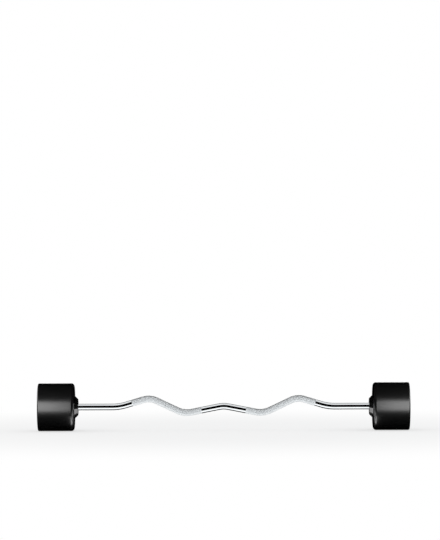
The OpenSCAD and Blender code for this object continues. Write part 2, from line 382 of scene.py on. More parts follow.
def ring_at(distance, radius):
    """A ring square to the line, at a distance along it."""
    reach = STEP / 2
    x, z = place_at(distance)
    before, after = place_at(distance - reach), place_at(distance + reach)
    ahead = (after - before) / np.linalg.norm(after - before)
    return np.array([x, 0.0, z]), np.array([-ahead[1], 0.0, ahead[0]]), radius


print("middle of the bar:", round(distance_at(0.0), 4), "m along the line")

# %% [markdown]
# A finish is a small node tree that says what a surface is made of. Image textures could give the same
# detail, but they blur up close and need unwrapping. So patterns are worked out from the Object
# coordinates, which are metres in the model's own frame: a scale of 1000 is a pattern about a
# millimetre wide.


# %% The start and the end of every finish
def new_finish(name):
    """An empty material, its graph, and the place on the object."""
    material = bpy.data.materials.new(name)
    material.use_nodes = True
    material.node_tree.nodes.clear()
    graph = Graph(material.node_tree)
    place = graph.add("ShaderNodeTexCoord", out="Object")
    return material, graph, place


def surface_of(material, graph, shader):
    graph.add("ShaderNodeOutputMaterial", None, {"Surface": shader})
    return material


def close_finish(material, graph, **inputs):
    """Ends a finish in a Principled shader. Socket names are written with _ for a space."""
    named = {name.replace("_", " "): value for name, value in inputs.items()}
    return surface_of(material, graph, graph.add("ShaderNodeBsdfPrincipled", None, named))


def bump(graph, height, depth_mm, strength):
    inputs = {"Height": height, "Distance": depth_mm * MM, "Strength": strength}
    return graph.add("ShaderNodeBump", None, inputs)


# %% [markdown]
# Decorative chrome is a thin bright layer over polished steel. A plain grey mirror could stand in for
# it, but real chrome has a cool tint and is never quite even. So a large soft pattern of smudges dulls
# it here and there, and a noise that is stretched along X makes fine polishing lines.

# %% Polished chrome
CHROME_TINT, CHROME_DULL = (0.86, 0.885, 0.90), (0.70, 0.725, 0.745)


def polished_chrome():
    material, graph, place = new_finish("polished_chrome")
    line_scales = (60.0, 2600.0, 2600.0)
    mirror_rough, smudge_rough, line_rough, smudge_dulls = 0.02, 0.03, 0.02, 0.3
    smudge = graph.noise(place, scale=38.0, detail=4.0, roughness=0.55).ramp(low=0.45, high=0.75)
    lines = graph.noise(graph.vector("MULTIPLY", place, line_scales), scale=1.0, roughness=0.6)
    return close_finish(
        material, graph, Metallic=1.0,
        Base_Color=graph.mix(smudge * smudge_dulls, CHROME_TINT, CHROME_DULL),
        Roughness=mirror_rough + smudge * smudge_rough + lines * line_rough,
        Normal=bump(graph, lines, depth_mm=0.002, strength=0.5),
    )


chrome = polished_chrome()
print("polished chrome:", len(chrome.node_tree.nodes), "nodes")

# %% [markdown]
# The middle and the two straight ends of the bar are smooth. Each end has a shoulder for the collar, a
# turned-down tenon for the weight and a tapped hole for the bolt. The bar could be one mesh, but two
# finishes keep better on separate pieces. So the smooth bar is three pieces of rings four millimetres
# apart, and the rings of the hole run back inside the tenon.

# %% Sizes of the smooth bar
bar_r = 12.5 * MM
tenon_r = 11 * MM
tapped_r = 6.1 * MM
shoulder_x = boot_tip_x + 10 * MM
tapped_x = tenon_end_x - 40.5 * MM
drill_tip = 3 * MM
shoulder_edge, tenon_edge = 0.4 * MM, 1 * MM
knurl_in_x, knurl_out_x = 84 * MM, 345 * MM
print("tenon:", round((tenon_end_x - shoulder_x) / MM, 1), "mm long")

# %% The smooth bar
BAR_SIDES = 160
RING_STEP = 4 * MM


def smooth_stretch(x0, x1):
    """Rings of the full bar between two places, after a point that closes the first one."""
    s0, s1 = distance_at(x0), distance_at(x1)
    count = math.ceil((s1 - s0) / RING_STEP)
    rings = [ring_at(s0 + (s1 - s0) * k / count, bar_r) for k in range(count + 1)]
    return [(*rings[0][:2], 0.0), *rings]


middle_rings = smooth_stretch(-knurl_in_x, knurl_in_x)
middle_rings.append((*middle_rings[-1][:2], 0.0))
tenon_steps = [
    (shoulder_x - shoulder_edge, bar_r), (shoulder_x, bar_r - shoulder_edge), (shoulder_x, tenon_r),
    (tenon_end_x - tenon_edge, tenon_r), (tenon_end_x, tenon_r - tenon_edge),
    (tenon_end_x, tapped_r + tenon_edge), (tenon_end_x - tenon_edge, tapped_r), (tapped_x, tapped_r),
    (tapped_x - drill_tip, 0.0),
]
tenon_rings = [(np.array([x, 0.0, 0.0]), UP, radius) for x, radius in tenon_steps]
end_rings = smooth_stretch(knurl_out_x, shoulder_x - shoulder_edge)[:-1] + tenon_rings
bar_middle = ringed("bar_middle", middle_rings, BAR_SIDES)
bar_ends = both_ends(ringed("bar_right_end", end_rings, BAR_SIDES))
smooth_bar = [bar_middle, bar_ends["right"], bar_ends["left"]]
print("smooth bar:", sum(len(o.data.polygons) for o in smooth_bar), "faces")

# %% [markdown]
# The grips are chromed too, but their many small edges scatter the light, so they look satin. Their
# grooves are painted darker, as painted shade, and their crests keep the plain chrome and are rubbed
# smoother. Ambient occlusion could find the grooves, but the export can't keep it. So the mesh itself
# carries an attribute named crest, and the finish reads that.


# %% Knurled chrome
def knurled_chrome():
    material, graph, place = new_finish("knurled_chrome")
    # The grooves are painted darker than the crests: painted shade where ambient occlusion would fall.
    groove_shade_colour = (0.56, 0.585, 0.60)
    groove_rough, crest_smooths, grain_rough, wear_smooths = 0.34, 0.12, 0.06, 0.04
    crest = graph.add("ShaderNodeAttribute", {"attribute_name": "crest"}, out="Fac")
    worn = graph.noise(place, scale=55.0, detail=3.0, roughness=0.6).ramp(low=0.35, high=0.7)
    grain = graph.noise(place, scale=5200.0, roughness=0.6)
    return close_finish(
        material, graph, Metallic=1.0,
        Base_Color=graph.mix(crest.ramp(low=0.0, high=0.6), groove_shade_colour, CHROME_TINT),
        Roughness=groove_rough - crest * crest_smooths + grain * grain_rough - worn * wear_smooths,
        Normal=bump(graph, grain, depth_mm=0.004, strength=0.6),
    )


knurl_chrome = knurled_chrome()
print("knurled chrome:", len(knurl_chrome.node_tree.nodes), "nodes")

# %% [markdown]
# A knurl is rolled by two wheels with slanted teeth. One set of grooves winds left and one winds right,
# and small flat-topped diamonds stay between them. A bump texture would fake it from afar, but the
# diamonds should catch the light one by one, so they are cut for real. Copies of one diamond would
# gape in the bends. So Geometry Nodes wrap one grid of points round the centre line, and each point
# asks how far away the nearest groove is.

# %% The recipe's inputs
GRIP_INPUTS = {
    "Start": "Float", "Length": "Float", "Radius": "Float", "Groove depth": "Float",
    "Crest rise": "Float", "Run-out": "Float", "Diamonds along": "Int", "Diamonds round": "Int",
}


def recipe_with_inputs(name, inputs):
    """A Geometry Nodes tree, and the identifier of each of its named inputs."""
    recipe = bpy.data.node_groups.new(name, "GeometryNodeTree")
    recipe.interface.new_socket("Geometry", in_out="INPUT", socket_type="NodeSocketGeometry")
    identifiers = {}
    for label, kind in inputs.items():
        item = recipe.interface.new_socket(label, in_out="INPUT", socket_type=f"NodeSocket{kind}")
        identifiers[label] = item.identifier
    recipe.interface.new_socket("Geometry", in_out="OUTPUT", socket_type="NodeSocketGeometry")
    return recipe, identifiers


# %% [markdown]
# The grid of points could have any fineness, but rows in free places would cut across the grooves and
# leave ragged crests. So rows and columns fall on quarter diamonds, and every groove and flat lies on
# an edge of the mesh. One more row at each end shrinks to a point, which closes the tube.

# %% The grid, counted in diamonds
QUARTERS = 4
CLOSING_ROWS = 2


def diamond_grid(graph, along, around):
    """A grid, each point's place on it in diamonds, and 1 on the tube but 0 on the closing rows."""
    last_row, last_column = along * QUARTERS + CLOSING_ROWS, around * QUARTERS
    sizes = {"Size X": 1.0, "Size Y": 1.0, "Vertices X": last_row + 1, "Vertices Y": last_column + 1}
    grid = graph.add("GeometryNodeMeshGrid", None, sizes)
    x, y = graph.parts_of(graph.add("GeometryNodeInputPosition"))[:2]
    row = ((x + 0.5) * last_row).whole()
    column = ((y + 0.5) * last_column).whole()
    place_along = ((row - 1) / QUARTERS).most(0.0).least(along * 1.0)
    on_tube = row.above(0.5) * (last_row - row).above(0.5)
    return grid, place_along, column / QUARTERS, on_tube


# %% How high each point stands
FLANK_SHARE, CROWN_SHARE = 0.86, 0.14
WHOLE_SHIFT = 1000


def tooth_and_crown(place_along, place_round):
    """0 in a groove and 1 a quarter diamond away from it, and the same for the next quarter."""
    one_way = 0.5 - ((place_along + place_round).fraction() - 0.5).size()
    # A whole number is added, which leaves the fraction as it is and keeps the sum above 0
    other_way = 0.5 - ((place_along - place_round + WHOLE_SHIFT).fraction() - 0.5).size()
    quarters_away = one_way.least(other_way) * QUARTERS
    return quarters_away.clamped(), (quarters_away - 1).clamped()


# %% [markdown]
# Each point then goes to a distance along the curve, an angle round it and a reach from it. The pattern
# could stop dead, but the wheels lift slowly, so it fades out near both ends of the grip. The grid's
# first and last columns are merged. The tree ends in real geometry with its material set, because the
# export drops instances.

# %% A point's place on the bent bar
WELD_REACH = 0.01 * MM


def place_on_bar(graph, line, distance, angle, reach):
    """The place at a distance along the line, an angle round it and a reach from it."""
    where = {"Curves": line, "Length": distance}
    outputs = ("Position", "Tangent")
    centre, ahead = graph.several("GeometryNodeSampleCurve", outputs, {"mode": "LENGTH"}, where)
    up = graph.vector("CROSS_PRODUCT", ahead, (0.0, 1.0, 0.0))
    sideways = graph.add("ShaderNodeCombineXYZ", None, {"Y": angle.sine() * reach})
    scaled = {0: up, "Scale": angle.cosine() * reach}
    upwards = graph.add("ShaderNodeVectorMath", {"operation": "SCALE"}, scaled)
    return graph.vector("ADD", centre, graph.vector("ADD", sideways, upwards))


# %% The whole recipe
def knurl_recipe(material):
    """Wraps a grid round the curve that comes in, and cuts diamonds into it."""
    recipe, identifiers = recipe_with_inputs("knurled_grip", GRIP_INPUTS)
    graph = Graph(recipe)
    given = graph.several("NodeGroupInput", ("Geometry", *GRIP_INPUTS))
    line, start, length, radius, depth, rise, run_out, along, around = given
    grid, place_along, place_round, on_tube = diamond_grid(graph, along, around)
    tooth, crown = tooth_and_crown(place_along, place_round)
    from_end = place_along.least(along - place_along) * (length / along)
    fade = (from_end / run_out).clamped()
    relief = (tooth * FLANK_SHARE + crown * CROWN_SHARE) * (depth + rise) - depth
    reach = (radius + relief * fade) * on_tube
    distance = start + place_along * (length / along)
    place = place_on_bar(graph, line, distance, place_round * (math.tau / (around * 1.0)), reach)

    crest = (tooth * 0.5 + crown * 0.5) * fade + (1 - fade) * 0.5
    named_crest = {"Name": "crest", "Value": crest}

    shape = grid
    for kind, settings, inputs in (
        ("StoreNamedAttribute", {"data_type": "FLOAT", "domain": "POINT"}, named_crest),
        ("SetPosition", {}, {"Position": place}),
        ("MergeByDistance", {}, {"Distance": WELD_REACH}),
        ("Triangulate", {"quad_method": "SHORTEST_DIAGONAL"}, {}),
        ("SetShadeSmooth", {}, {"Shade Smooth": False}),
        ("RealizeInstances", {}, {}),
        ("SetMaterial", {}, {"Material": material}),
    ):
        shape = graph.add(f"GeometryNode{kind}", settings, {0: shape, **inputs})
    graph.add("NodeGroupOutput", None, {0: shape})
    return recipe, identifiers


knurl, knurl_inputs = knurl_recipe(knurl_chrome)
print("knurl:", len(knurl.nodes), "nodes and", len(knurl_inputs), "named inputs")

# %% [markdown]
# A Geometry Nodes modifier is a recipe, and the export wants a finished mesh. An operator could apply
# it, but that depends on what is selected. So this helper sets the recipe's inputs, lets Blender work
# it out once, and keeps the result as a plain mesh.


# %% From a recipe to a plain mesh
def grown(name, source, recipe, identifiers, sizes):
    """Runs the recipe on the source object and returns what it makes as a new plain object."""
    modifier = source.modifiers.new("recipe", "NODES")
    modifier.node_group = recipe
    for label, size in sizes.items():
        modifier[identifiers[label]] = size
    bpy.context.view_layer.update()
    ready = source.evaluated_get(bpy.context.evaluated_depsgraph_get())
    mesh = bpy.data.meshes.new_from_object(ready)
    mesh.name = name
    source.modifiers.remove(modifier)
    print(name, len(mesh.vertices), "points", len(mesh.polygons), "faces")
    return in_scene(name, mesh)


def curve_object(name, points):
    """The centre line as a curve of straight steps."""
    curve = bpy.data.curves.new(name, "CURVE")
    curve.dimensions = "3D"
    spline = curve.splines.new("POLY")
    spline.points.add(len(points) - 1)
    places = np.array([(x, 0.0, z, 1.0) for x, z in points], np.float32)
    spline.points.foreach_set("co", places.ravel())
    return in_scene(name, curve)


# %% [markdown]
# Forty diamonds go round the bar, each about two millimetres wide, as on a medium knurl. Coarser ones
# would save faces but look like a file. They are longer than they are wide, because the grooves wind
# at thirty degrees to the bar. The crests stand as far above the smooth bar as the grooves lie below
# it, because rolling moves steel and removes none.

# %% The knurled grips
DIAMONDS_ROUND = 40
groove_angle = math.radians(30)
groove_depth, crest_rise, run_out = 0.2 * MM, 0.2 * MM, 2.5 * MM
diamond_w = math.tau * bar_r / DIAMONDS_ROUND
diamond_l = diamond_w / math.tan(groove_angle)
grip_length = distance_at(knurl_out_x) - distance_at(knurl_in_x)
diamonds_along = round(grip_length / diamond_l)

centre_curve = curve_object("centre_line", line_points)
grips = []
for side, start_x in (("left", -knurl_out_x), ("right", knurl_in_x)):
    grip_sizes = {
        "Start": distance_at(start_x), "Length": grip_length, "Radius": bar_r,
        "Groove depth": groove_depth, "Crest rise": crest_rise, "Run-out": run_out,
        "Diamonds along": diamonds_along, "Diamonds round": DIAMONDS_ROUND,
    }
    grips.append(grown(f"{side}_knurled_grip", centre_curve, knurl, knurl_inputs, grip_sizes))
bpy.data.objects.remove(centre_curve)
print("diamond mm:", round(diamond_w / MM, 2), "by", round(diamond_l / MM, 2), "in rows of", diamonds_along)

# %% [markdown]
# A tapered collar with twelve flats fills the opening in each weight's cover, so its sizes come first.
# They could be typed in, but its box gives the height of its highest corner. The flats are turned by
# eight degrees, as none of the real ones faces straight up, and the distance to a flat follows.

# %% Sizes of the tapered collars
FACETS = 12
facet_turn = math.radians(8)
flat_share = math.cos(math.pi / FACETS)
tip_corner_r = 31 * MM
base_flat_r = boot_rise / math.cos(facet_turn) * flat_share
tip_flat_r = tip_corner_r * flat_share
print("collar:", round(base_flat_r / MM, 2), "mm to a flat at its base")

# %% [markdown]
# A weight's cover is a drum with a generous rounding towards the grips and a tighter one outside. Its
# outer face has a fine moulded ring near the rim, and the opening that the end cap sits in. A solid
# drum cut by Booleans would look the same, but the real cover is a shell round an iron core. So its
# profile goes over the outside and back along the inside, and is turned in one go.

# %% Sizes of the weights' covers
fit_gap = 0.1 * MM
hole_r, cap_hole_r = base_flat_r + fit_gap, cap_r + fit_gap
hole_edge = 0.6 * MM
inner_round, outer_round, cap_lip_round = 12 * MM, 5.5 * MM, 0.8 * MM
ring_r, ring_w, ring_d = 79 * MM, 2.2 * MM, 0.7 * MM
ring_foot_in, ring_foot_out = ring_r + ring_w * 0.3, ring_r + ring_w * 0.7
ring_edge_round, ring_foot_round = 0.5 * MM, 0.4 * MM
print("moulded ring:", round(2 * ring_r / MM, 1), "mm across")

# %% The weights' covers
cover_profile = [
    (core_in_x, hole_r), (inner_face_x + hole_edge, hole_r), (inner_face_x, hole_r + hole_edge),
    (inner_face_x, weight_r, inner_round), (outer_face_x, weight_r, outer_round),
    (outer_face_x, ring_r + ring_w, ring_edge_round),
    (outer_face_x - ring_d, ring_foot_out, ring_foot_round),
    (outer_face_x - ring_d, ring_foot_in, ring_foot_round),
    (outer_face_x, ring_r, ring_edge_round), (outer_face_x, cap_hole_r, cap_lip_round),
    (core_out_x, cap_hole_r), (core_out_x, core_r), (core_in_x, core_r),
]
covers = both_ends(turned("right_weight_cover", cover_profile, loop=True))
print("cover:", len(covers["right"].data.polygons), "faces")

# %% [markdown]
# The tapered collar could be cut with Booleans too, but rings make a cleaner mesh. Every ring is a
# twelve-sided shape with rounded corners. A small rounding gives the flats their soft moulded edges,
# which catch the light, and a rounding as large as the ring gives the round bore. All rings have the
# same number of points, so they join.

# %% One ring of a collar
CORNER_POINTS = 7


def collar_ring(x, flat_r, corner_round):
    """Points about X. The flats are flat_r from the axis, and the corners between them are rounded."""
    half = math.pi / FACETS
    evenly = half * (1 - 1 / CORNER_POINTS)
    sweep = half if corner_round < flat_r else evenly
    centre_r = (flat_r - corner_round) / math.cos(half)
    ring = []
    for corner in range(FACETS):
        middle = math.tau * corner / FACETS - facet_turn
        for k in range(CORNER_POINTS):
            angle = middle + sweep * (2 * k / (CORNER_POINTS - 1) - 1)
            sideways = centre_r * math.sin(middle) + corner_round * math.sin(angle)
            upwards = centre_r * math.cos(middle) + corner_round * math.cos(angle)
            ring.append((x, sideways, upwards))
    return ring


# %% The profile of a collar
COLLAR_STEP = math.radians(15)
edge_round, base_round, tip_round, mouth_round = 0.8 * MM, 0.5 * MM, 1.1 * MM, 0.8 * MM
spigot_r = base_flat_r - 0.2 * MM
nose_bore_r, nose_x = 24.1 * MM, boot_tip_x + 3 * MM
bar_bore_r = bar_r + fit_gap

outside = rounded([
    (inner_face_x, spigot_r), (inner_face_x, base_flat_r, base_round),
    (boot_tip_x, tip_flat_r, tip_round), (boot_tip_x, bar_bore_r),
], COLLAR_STEP)
inside = rounded([
    (boot_tip_x, tip_flat_r), (boot_tip_x, bar_bore_r, mouth_round), (nose_x, bar_bore_r),
    (nose_x, nose_bore_r), (core_in_x, nose_bore_r), (core_in_x, spigot_r), (inner_face_x, spigot_r),
], COLLAR_STEP)
collar_profile = [(x, r, edge_round) for x, r in outside[1:-1]] + [(x, r, r) for x, r in inside[1:]]
print("collar profile:", len(collar_profile), "rings")


# %% The tapered collars
def tapered_collar(name):
    points = [point for place in collar_profile for point in collar_ring(*place)]
    around = FACETS * CORNER_POINTS
    faces = []
    for i in range(len(collar_profile)):
        n = (i + 1) % len(collar_profile)
        for k in range(around):
            j = (k + 1) % around
            faces.append([i * around + k, i * around + j, n * around + j, n * around + k])
    return mesh_object(name, points, faces, smooth=False)


boots = both_ends(tapered_collar("right_tapered_collar"))
print("collar:", len(boots["right"].data.polygons), "faces")

# %% [markdown]
# The end cap closes the bolt's pocket. It is a disc with a raised rim, a shallow dish and a few fine
# rings that the mould leaves, and its skirt carries the seal in a groove. The rings could be bumps in
# the finish, but they catch the light at their edges, so they are part of the turned profile.

# %% Sizes of the end caps
skirt_r, skirt_bore_r, skirt_edge = 31.8 * MM, 25.5 * MM, 0.5 * MM
groove_r = 28.9 * MM
seal_x, seal_half = core_out_x - 4 * MM, 1.6 * MM
groove_in_x, groove_out_x = seal_x - seal_half, seal_x + seal_half
rim_in_r, rim_slope = cap_r - 7 * MM, 0.4 * MM
dish_x = cap_face_x - 1 * MM
rim_out_round, rim_in_round, dish_round = 0.9 * MM, 0.4 * MM, 0.3 * MM
mould_rings = (28 * MM, 14 * MM)
line_half, line_foot, line_d, line_round = 0.9 * MM, 0.3 * MM, 0.4 * MM, 0.2 * MM
dimple_r, dimple_foot_r, dimple_d = 3 * MM, 2 * MM, 0.5 * MM
print("cap:", round(2 * cap_r / MM, 1), "mm across, skirt", round(2 * skirt_r / MM, 1), "mm")

# %% The end caps
cap_profile = [
    (core_out_x, 0.0), (core_out_x, skirt_bore_r), (cap_in_x, skirt_bore_r),
    (cap_in_x, skirt_r - skirt_edge), (cap_in_x + skirt_edge, skirt_r), (groove_in_x, skirt_r),
    (groove_in_x, groove_r), (groove_out_x, groove_r), (groove_out_x, skirt_r), (core_out_x, skirt_r),
    (core_out_x, cap_r), (cap_face_x, cap_r, rim_out_round), (cap_face_x, rim_in_r, rim_in_round),
    (dish_x, rim_in_r - rim_slope, dish_round),
]
for ring in mould_rings:
    cap_profile += [
        (dish_x, ring + line_half, line_round), (dish_x - line_d, ring + line_foot, line_round),
        (dish_x - line_d, ring - line_foot, line_round), (dish_x, ring - line_half, line_round),
    ]
cap_profile += [
    (dish_x, dimple_r, dish_round), (dish_x - dimple_d, dimple_foot_r, dish_round),
    (dish_x - dimple_d, 0.0),
]
caps = both_ends(turned("right_push_in_cap", cap_profile))
print("cap:", len(caps["right"].data.polygons), "faces")

# %% [markdown]
# The covers, collars and caps are moulded black rubber. One flat black would hide every shape, and real
# rubber isn't flat: a mould leaves a fine satin grain and, on the large covers, a smooth skin, which is
# a coat in the shader. Handling greys the rims first. They could be painted by hand, but a mask made
# from the distance to the nearest rim and broken up by noise keeps both ends alike.

# %% Where the rubber is worn
WEAR_NEAR, WEAR_FAR = 1.0 * MM, 6.0 * MM
fleck_wear = 0.25


def scuffs(graph, place, rims):
    """Flecks all over, and worn patches near the rims. Each rim is (x, distance from the axis)."""
    x, y, z = graph.parts_of(place)
    away = (y * y + z * z).root()
    fleck = graph.noise(place, scale=620.0, roughness=0.7).ramp(low=0.68, high=0.80)
    patchy = graph.noise(place, scale=140.0, detail=5.0, roughness=0.7).ramp(low=0.42, high=0.68)
    worn = fleck * fleck_wear
    for rim_x, rim_r in rims:
        gap = ((x.size() - rim_x) ** 2.0 + (away - rim_r) ** 2.0).root()
        near = 1 - gap.ramp(WEAR_NEAR, WEAR_FAR)
        worn = worn.most(near * patchy)
    return worn


# %% Moulded rubber
skin_rough = 0.29
dust_spread, dust_lift = 3.0, 0.010
cloud_greys, scuff_greys = 0.06, 0.5
cloud_rough, scuff_rough, grain_rough = 0.08, 0.14, 0.08
grain_part, pebble_part = 0.6, 0.4


def moulded_rubber(name, black, roughness, grain_mm, depth_mm, rims=(), gloss=0.5, skin=0.0):
    """Satin black rubber. gloss is how strongly it mirrors, and skin is how much coat lies on it."""
    material, graph, place = new_finish(name)
    cloud = graph.noise(place, scale=24.0, detail=5.0, roughness=0.65)
    pebble = graph.noise(place, scale=320.0, detail=3.0, roughness=0.6)
    grain = graph.noise(place, scale=1.0 / (grain_mm * MM), detail=3.0, roughness=0.65)
    scuffed = scuffs(graph, place, rims)
    dusty = tuple(c * dust_spread + dust_lift for c in black)
    greyed = (cloud.ramp(low=0.35, high=0.8) * cloud_greys + scuffed * scuff_greys).clamped()
    uneven = (cloud - 0.5) * cloud_rough + scuffed * scuff_rough + (grain - 0.5) * grain_rough
    return close_finish(
        material, graph, Specular_IOR_Level=gloss, Coat_Weight=skin, Coat_Roughness=skin_rough,
        Base_Color=graph.mix(greyed, black, dusty), Roughness=roughness + uneven,
        Normal=bump(graph, grain * grain_part + pebble * pebble_part, depth_mm, strength=0.8),
    )


# %% The rubber of each piece
DEEP_BLACK, CAP_BLACK = (0.0025, 0.0025, 0.0026), (0.004, 0.004, 0.0042)
inner_rim_in, outer_rim_in = 4 * MM, 1.5 * MM
cover_rims = (
    (inner_face_x + inner_rim_in, weight_r - inner_rim_in),
    (outer_face_x - outer_rim_in, weight_r - outer_rim_in),
)
cover_rubber = moulded_rubber(
    "cover_rubber", DEEP_BLACK, roughness=0.33, grain_mm=0.45, depth_mm=0.02,
    rims=cover_rims, gloss=1.0, skin=1.0,
)
boot_rubber = moulded_rubber(
    "boot_rubber", DEEP_BLACK, roughness=0.22, grain_mm=0.35, depth_mm=0.008, gloss=1.0,
)
cap_rubber = moulded_rubber("cap_rubber", CAP_BLACK, roughness=0.4, grain_mm=0.5, depth_mm=0.02)
print("rubber:", [m.name for m in (cover_rubber, boot_rubber, cap_rubber)])

# %% [markdown]
# Every new piece has to move with the object and take the place of the CAD node that it stands for.
# This could be said piece by piece, but the two lines never change, so they are one function. Nothing
# here turns or slides, so all pieces ride on one body, root.


# %% Rides and materials
def dress(obj, material):
    obj.data.materials.clear()
    obj.data.materials.append(material)


def place_on_body(obj, slot, *nodes):
    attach(obj, "root")
    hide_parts(*nodes)


for obj in smooth_bar:
    dress(obj, chrome)
    place_on_body(obj, "chromed_bar", "curl_bar")
for obj in grips:
    place_on_body(obj, "chromed_bar", "curl_bar")
for pieces, rubber, slot, node in (
    (covers, cover_rubber, "cover_rubber", "rubber_cover"),
    (boots, boot_rubber, "boot_rubber", "collar_boot"),
    (caps, cap_rubber, "cap_rubber", "end_cap"),
):
    for side, piece in pieces.items():
        dress(piece, rubber)
        place_on_body(piece, slot, f"{side}_{node}")
black_pieces = [*covers.values(), *boots.values(), *caps.values()]
print("new pieces:", len([*smooth_bar, *grips, *black_pieces]))

# %% [markdown]
# The pieces inside show only when the bar is taken apart: a cast core with sand-rough skin, blacked
# steel with turning lines, zinc plate with a faint bloom, and a rubber seal. They could be modelled
# again, but their CAD meshes are right already, so they only get a finish each. The turning lines are
# a sine of the distance from the axis.


# %% Cast iron and seal rubber
def cast_iron():
    material, graph, place = new_finish("cast_iron")
    dark_iron, grey_iron = (0.16, 0.16, 0.165), (0.25, 0.245, 0.24)
    cast_rough, skin_spread = 0.55, 0.25
    skin = graph.noise(place, scale=420.0, detail=6.0, roughness=0.65)
    patch = graph.noise(place, scale=30.0, detail=3.0).ramp(low=0.4, high=0.7)
    return close_finish(
        material, graph, Metallic=0.85, Base_Color=graph.mix(patch, dark_iron, grey_iron),
        Roughness=cast_rough + skin * skin_spread, Normal=bump(graph, skin, depth_mm=0.25, strength=0.8),
    )


def seal_rubber():
    material, graph, place = new_finish("seal_rubber")
    fresh, bloomed = (0.012, 0.012, 0.012), (0.03, 0.03, 0.032)
    smooth_rough, bloom_rough = 0.38, 0.12
    bloom = graph.noise(place, scale=260.0, detail=3.0)
    colour = graph.mix(bloom.ramp(low=0.4, high=0.8), fresh, bloomed)
    return close_finish(material, graph, Base_Color=colour, Roughness=smooth_rough + bloom * bloom_rough)


# %% Turned steel, blacked or plated
def turned_metal(name, dark, light, roughness):
    """Steel that was turned and then plated or blacked, with rings about the X axis."""
    material, graph, place = new_finish(name)
    line_pitch, line_slant, bloom_rough = 0.35 * MM, 0.5, 0.12
    x, y, z = graph.parts_of(place)
    away = (y * y + z * z).root()
    lines = ((away + x * line_slant) * (math.tau / line_pitch)).sine() * 0.5 + 0.5
    bloom = graph.noise(place, scale=90.0, detail=4.0, roughness=0.6)
    return close_finish(
        material, graph, Metallic=1.0,
        Base_Color=graph.mix(bloom.ramp(low=0.35, high=0.7), dark, light),
        Roughness=roughness + bloom * bloom_rough,
        Normal=bump(graph, lines, depth_mm=0.01, strength=0.5),
    )


# %% Finishes of the pieces inside
BLACK_OXIDE, BLACK_OXIDE_WORN = (0.03, 0.03, 0.033), (0.07, 0.07, 0.075)
ZINC, ZINC_BLOOM = (0.50, 0.51, 0.53), (0.66, 0.66, 0.64)
iron, seal = cast_iron(), seal_rubber()
oxide = turned_metal("black_oxide", BLACK_OXIDE, BLACK_OXIDE_WORN, roughness=0.35)
zinc = turned_metal("zinc_plate", ZINC, ZINC_BLOOM, roughness=0.28)
inside_finishes = {
    "iron_core": iron, "hub_collar": oxide, "end_bolt": oxide, "spring_pin": zinc, "dowels": zinc,
    "clamp_washer": zinc, "spring_washer": zinc, "cap_seal": seal,
}
for side in ("left", "right"):
    for kind, material in inside_finishes.items():
        dress(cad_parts[f"{side}_{kind}"], material)
print("dressed CAD pieces:", 2 * len(inside_finishes))

# %% [markdown]
# The floor is plain and white, and it keeps the bar's soft shadow. Lamps could light it until it turns
# white, but they would burn out the bar as well. So its paint shows itself as white to the camera
# instead, partly near the bar and fully far away. The floor and the cards are plain sheets, because they
# aren't part of the object.

# %% Sheets and glowing paint
scene = bpy.context.scene
scene.view_settings.view_transform = "Standard"
WHITE = (1.0, 1.0, 1.0)


def plain_sheet(name, corners):
    mesh = bpy.data.meshes.new(name)
    mesh.from_pydata(corners, [], [list(range(len(corners)))])
    obj = in_scene(name, mesh)
    return obj


def level_sheet(x0, x1, y0, y1, z):
    return [(x0, y0, z), (x1, y0, z), (x1, y1, z), (x0, y1, z)]


def upright_sheet(x0, y0, x1, y1, z0, z1):
    return [(x0, y0, z0), (x1, y1, z0), (x1, y1, z1), (x0, y0, z1)]


def glowing(name, level):
    material, graph = new_finish(name)[:2]
    glow = graph.add("ShaderNodeEmission", None, {"Color": (level, level, level), "Strength": 1.0})
    return surface_of(material, graph, glow)


# %% The floor
FLOOR_GREY = (0.86, 0.865, 0.87)
floor_z = -weight_r
far = 60.0
white_near_bar = 0.6


def floor_paint():
    """White to the camera far away, and partly matte near the bar, where its shadow falls."""
    material, graph, place = new_finish("floor_paint")
    matte = graph.add("ShaderNodeBsdfDiffuse", None, {"Color": FLOOR_GREY})
    white = graph.add("ShaderNodeEmission", None, {"Color": WHITE, "Strength": 1.0})
    camera_ray = graph.add("ShaderNodeLightPath", out="Is Camera Ray")
    away = graph.vector("LENGTH", place, out="Value")
    white_share = white_near_bar + away.ramp(low=0.5, high=2.2) * (1 - white_near_bar)
    shader = graph.add("ShaderNodeMixShader", None, {0: camera_ray * white_share, 1: matte, 2: white})
    return surface_of(material, graph, shader)


floor = plain_sheet("floor", level_sheet(-far, far, -far, far, floor_z))
floor.data.materials.append(floor_paint())
floor.visible_glossy = False
print("floor at", round(floor_z, 4), "m")

# %% [markdown]
# Chrome has no look of its own: it shows the studio. The real bar shows a pale band above, a sharp
# black line along the middle and a white band below. Lamps alone hardly draw such bands, so cards do,
# as in a photographer's tent. Only reflections see a card, and light linking gives each one to the
# pieces that need it: a panel and a table to the smooth chrome, pale walls to the grips. What stays
# dark makes the black line.

# %% Which pieces a card or a lamp is for
def collection_of(name, pieces):
    group = bpy.data.collections.new(name)
    for piece in pieces:
        group.objects.link(piece)
    return group


drums = {side: collection_of(f"{side}_drum", [covers[side], caps[side]]) for side in covers}
collars = {side: collection_of(f"{side}_collar", [boots[side]]) for side in boots}
smooth_pieces = collection_of("smooth_pieces", smooth_bar)
grip_pieces = collection_of("grip_pieces", grips)
chrome_pieces = collection_of("chrome_pieces", [*smooth_bar, *grips])
chrome_and_rubber = collection_of("chrome_and_rubber", [*smooth_bar, *grips, *black_pieces])


# %% A card
def card(name, corners, glow, seen_by=None):
    """A sheet that only reflections see. It glows for some pieces and is black for the rest."""
    obj = plain_sheet(name, corners)
    obj.data.materials.append(glowing(name, glow))
    for ray in ("camera", "diffuse", "transmission", "shadow"):
        setattr(obj, f"visible_{ray}", False)
    if seen_by:
        obj.light_linking.receiver_collection = seen_by
    return obj


